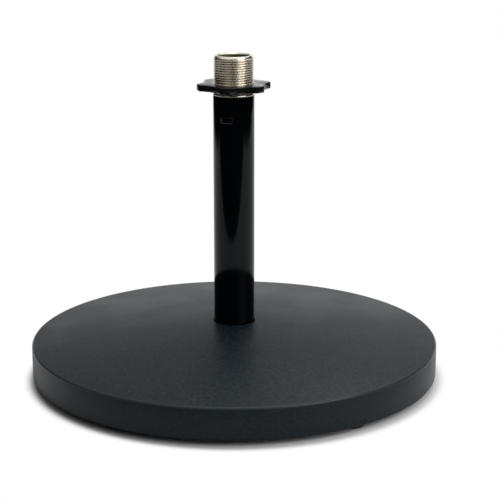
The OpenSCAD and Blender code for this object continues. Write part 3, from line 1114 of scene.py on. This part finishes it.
def seen_as_white(tree, mirror_mask):
    """1 for the camera, and the mask's value for rays that a shiny or clear surface sends out."""
    rays = add_node(tree, "ShaderNodeLightPath").outputs
    mirror_ray = reckon(tree, "MAXIMUM", rays["Is Glossy Ray"], rays["Is Transmission Ray"])
    mirrored = reckon(tree, "MULTIPLY", mirror_ray, mirror_mask)
    return reckon(tree, "MAXIMUM", rays["Is Camera Ray"], mirrored)


middle = Vector((0, (FLOOR_FRONT + FLOOR_BACK) / 2, 0))
middle.rotate(Euler((0, 0, FLOOR_TURN)))
deselect_all()
bpy.ops.mesh.primitive_plane_add(size=1, location=middle, rotation=(0, 0, FLOOR_TURN))
floor = bpy.context.object
floor.name = "floor"
floor.scale = (2 * FLOOR_SIDE, FLOOR_BACK - FLOOR_FRONT, 1)
bpy.ops.object.transform_apply(location=True, rotation=True, scale=True)

pale = bpy.data.materials.new("pale_floor")
pale.use_nodes = True
tree = pale.node_tree
tree.nodes.clear()
here = object_place(tree)
axes = add_node(tree, "ShaderNodeSeparateXYZ", {"Vector": here}).outputs
from_shadow = add_node(tree, "ShaderNodeVectorMath", {0: here, 1: SHADOW_CENTRE}, operation="DISTANCE")
past_shadow = ramp(tree, from_shadow.outputs["Value"], SHADOW_START, SHADOW_END)
behind = ramp(tree, axes["Y"], 0.0, base_radius)
# Painted shadow: under the base the floor is painted darker, most on the left.
shade = ramp(tree, axes["X"], -base_radius, base_radius, PAINTED_SHADOW_LEFT, PAINTED_SHADOW_RIGHT)
floor_with_painted_shadow = mix_values(tree, past_shadow, shade, FLOOR_PALE)
whitened = reckon(tree, "MULTIPLY", seen_as_white(tree, behind), past_shadow)
matt = add_node(tree, "ShaderNodeBsdfDiffuse", {"Color": floor_with_painted_shadow})
white = add_node(tree, "ShaderNodeEmission", {"Color": (1, 1, 1, 1), "Strength": 1.0})
blend = add_node(tree, "ShaderNodeMixShader", {
    0: whitened, 1: matt.outputs["BSDF"], 2: white.outputs["Emission"],
})
add_node(tree, "ShaderNodeOutputMaterial", {"Surface": blend.outputs["Shader"]})
floor.data.materials.append(pale)
print(f"floor: {2 * FLOOR_SIDE:.2f} m wide")

# %% [markdown]
# The world is the light tent round the stand. It is white behind, which is what the satin coat and
# the gloss mirror at a low angle, it fades higher up and towards the sides, it is dark towards the
# camera, and it glows softly overhead. The camera itself sees plain white.

# %% Build the light tent
TENT_SWING = 0.12
WALL_FADES_AT = math.cos(math.radians(46))
WALL_FULL_AT = math.cos(math.radians(20))
TENT_DARK = 0.02
TENT_GLOW = 0.9
WALL_LIGHT = 0.95
WALL_FADE = (0.05, 0.6)
WALL_TOP = 0.1
GLOW_FADE = (0.35, 0.8)

scene = bpy.context.scene
world = bpy.data.worlds.new("light_tent")
scene.world = world
world.use_nodes = True
tree = world.node_tree
tree.nodes.clear()
look = add_node(tree, "ShaderNodeTexCoord").outputs["Generated"]
height = add_node(tree, "ShaderNodeSeparateXYZ", {"Vector": look}).outputs["Z"]
backwards = add_node(tree, "ShaderNodeVectorMath", {
    0: look, 1: (math.sin(TENT_SWING), math.cos(TENT_SWING), 0.0),
}, operation="DOT_PRODUCT").outputs["Value"]
across = ramp(tree, backwards, WALL_FADES_AT, WALL_FULL_AT)
wall = reckon(tree, "MULTIPLY", across, ramp(tree, height, *WALL_FADE, 1.0, WALL_TOP))
glow = ramp(tree, height, *GLOW_FADE, TENT_DARK, TENT_GLOW)
soft = reckon(tree, "MAXIMUM", glow, reckon(tree, "MULTIPLY", wall, WALL_LIGHT))
tent = add_node(tree, "ShaderNodeBackground", {
    "Color": (1, 1, 1, 1), "Strength": reckon(tree, "MAXIMUM", seen_as_white(tree, wall), soft),
})
add_node(tree, "ShaderNodeOutputWorld", {"Surface": tent.outputs["Background"]})
print("world:", world.name)

# %% [markdown]
# Three softboxes do the rest. A long one overhead, a little to the right, lights the floor and the
# top of the base. A square one in front on the right puts the cream band on the thread, and a weak
# one on the left adds thin lines beside it. A lamp is aimed by turning its own -Z towards a point.

# %% Hang the softboxes
LAMP_AIM = Vector((0, 0, 0.06))


def softbox(name, place, width, height, power):
    """A rectangular lamp that points at the middle of the stand."""
    light = bpy.data.lights.new(name, "AREA")
    light.shape = "RECTANGLE"
    light.size = width
    light.size_y = height
    light.energy = power
    lamp = bpy.data.objects.new(name, light)
    scene.collection.objects.link(lamp)
    lamp.location = place
    lamp.rotation_euler = (LAMP_AIM - lamp.location).to_track_quat("-Z", "Y").to_euler()
    print(f"lamp {name}: {power} W")


softbox("overhead", place=(0.2, 0.35, 1.0), width=0.45, height=1.2, power=3.5)
softbox("front_right", place=(0.66, -0.6, 0.55), width=0.75, height=0.75, power=7.0)
softbox("front_left", place=(-0.5, -0.7, 0.5), width=0.6, height=0.6, power=0.7)

# %% [markdown]
# The camera stands where the photograph was taken from: it looks down by about 15 degrees, with a
# long lens. The Standard view transform shows colours as they are written.

# %% Set the camera
CAMERA_TILT = math.radians(14.845)
CAMERA_TURN = -0.0109
CAMERA_PLACE = (0, -0.5874, 0.2075)
CAMERA_LENS = 108
CAMERA_SENSOR = 36

scene.view_settings.view_transform = "Standard"
camera_data = bpy.data.cameras.new("camera")
camera_data.lens = CAMERA_LENS
camera_data.sensor_width = CAMERA_SENSOR
camera = bpy.data.objects.new("camera", camera_data)
scene.collection.objects.link(camera)
camera.location = CAMERA_PLACE
camera.rotation_euler = (math.pi / 2 - CAMERA_TILT, 0, CAMERA_TURN)
scene.camera = camera
print(f"camera: {camera_data.lens:.0f} mm lens")
